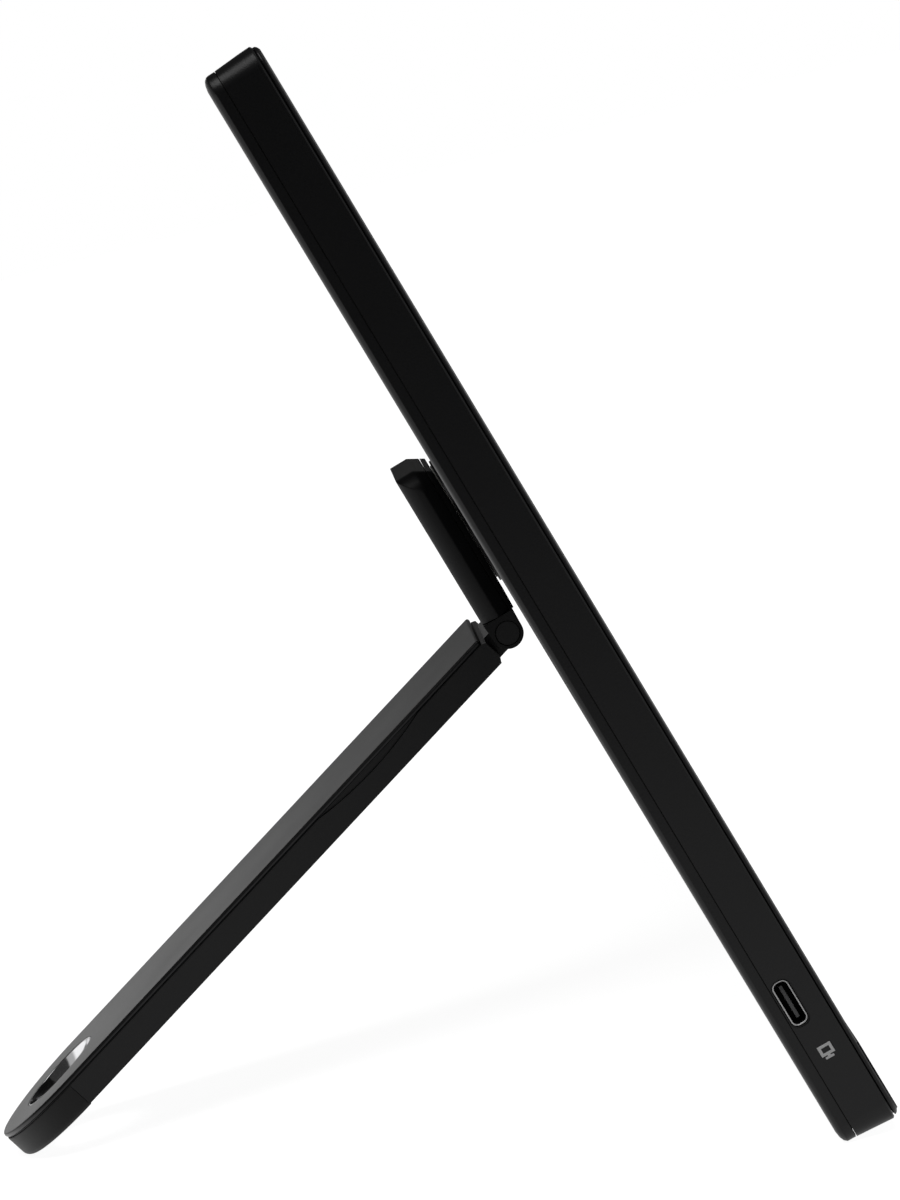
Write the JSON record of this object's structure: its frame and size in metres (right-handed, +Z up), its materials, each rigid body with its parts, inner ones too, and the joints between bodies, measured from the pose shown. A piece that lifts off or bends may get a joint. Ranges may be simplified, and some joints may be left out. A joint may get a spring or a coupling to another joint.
{
  "type": "portable monitor with kickstand",
  "caption": "Slim landscape portable monitor leaning back on a swivelling, folding kickstand with a rubber foot and a hanging hole.",
  "frame": {"origin": "on the ground, below the middle of the bounding box", "axes": "+X to the right of a person facing the screen, +Y from the screen to its back, +Z up"},
  "size_m": [0.36, 0.176, 0.2194],
  "materials": {
    "bezel_plastic": "fine matt grain",
    "housing_plastic": "fine matt spark texture",
    "stand_plastic": "fine matt spark texture",
    "button_plastic": "satin",
    "screen_glass": "matt anti-glare",
    "diffuser_film": "satin",
    "light_guide_acrylic": "clear",
    "white_film": "satin",
    "led_board": "satin",
    "sheet_steel": "mill finish",
    "screw_steel": "bright",
    "hinge_steel": "turned",
    "liner_steel": "polished",
    "green_board": "solder mask",
    "copper_flex": "satin",
    "ribbon_cable": "satin",
    "port_steel": "bright",
    "port_plastic": "satin",
    "glide_plastic": "satin",
    "foot_rubber": "matt"
  },
  "bodies": {
    "screen": {"front_bezel": "bezel_plastic", "display_glass": "screen_glass", "optical_sheets": "diffuser_film", "light_guide": "light_guide_acrylic", "reflector_sheet": "white_film", "led_strip": "led_board", "panel_tray": "sheet_steel", "tray_screws": "screw_steel", "panel_board": "green_board", "panel_flexes": "copper_flex", "panel_cable": "ribbon_cable", "side_frame": "housing_plastic", "rear_cover": "housing_plastic", "main_board": "green_board", "side_board": "green_board", "board_link": "ribbon_cable", "button_board": "green_board", "button_cable": "ribbon_cable", "board_screws": "screw_steel", "port_shells": "port_steel", "port_tongues": "port_plastic", "video_port": "port_steel", "speakers": "port_plastic", "swivel_brace": "sheet_steel", "brace_screws": "screw_steel", "glide_washer": "glide_plastic"},
    "stand": {"swivel_shaft": "hinge_steel", "friction_washers": "hinge_steel", "swivel_nut": "hinge_steel", "plate_shell": "stand_plastic", "plate_cover": "stand_plastic", "flange_screws": "screw_steel", "hinge_pin": "hinge_steel", "pin_caps": "stand_plastic"},
    "leg": {"hinge_sleeve": "hinge_steel", "leg_shell": "stand_plastic", "leg_cover": "stand_plastic", "leg_core": "sheet_steel", "leg_screws": "screw_steel", "hole_liner": "liner_steel", "foot_pad": "foot_rubber"},
    "power_button": {"power_button": "button_plastic"},
    "down_button": {"down_button": "button_plastic"},
    "up_button": {"up_button": "button_plastic"}
  },
  "joints": [
    {"name": "stand_swivel", "type": "hinge", "parent": "screen", "child": "stand", "pos_m": [0, -0.04343, 0.11022], "axis": [0, 0.9578, -0.2873], "range_deg": [-180, 180]},
    {"name": "leg_hinge", "type": "hinge", "parent": "stand", "child": "leg", "pos_m": [0, -0.04499, 0.08657], "axis": [1, 0, 0], "range_deg": [-74, 34]},
    {"name": "power_press", "type": "slide", "parent": "screen", "child": "power_button", "axis": [-1, 0, 0], "range_m": [0, 0.0004], "stiffness_N_per_m": 1200, "springref_m": -0.0002},
    {"name": "down_press", "type": "slide", "parent": "screen", "child": "down_button", "axis": [-1, 0, 0], "range_m": [0, 0.0004], "stiffness_N_per_m": 1200, "springref_m": -0.0002},
    {"name": "up_press", "type": "slide", "parent": "screen", "child": "up_button", "axis": [-1, 0, 0], "range_m": [0, 0.0004], "stiffness_N_per_m": 1200, "springref_m": -0.0002}
  ]
}
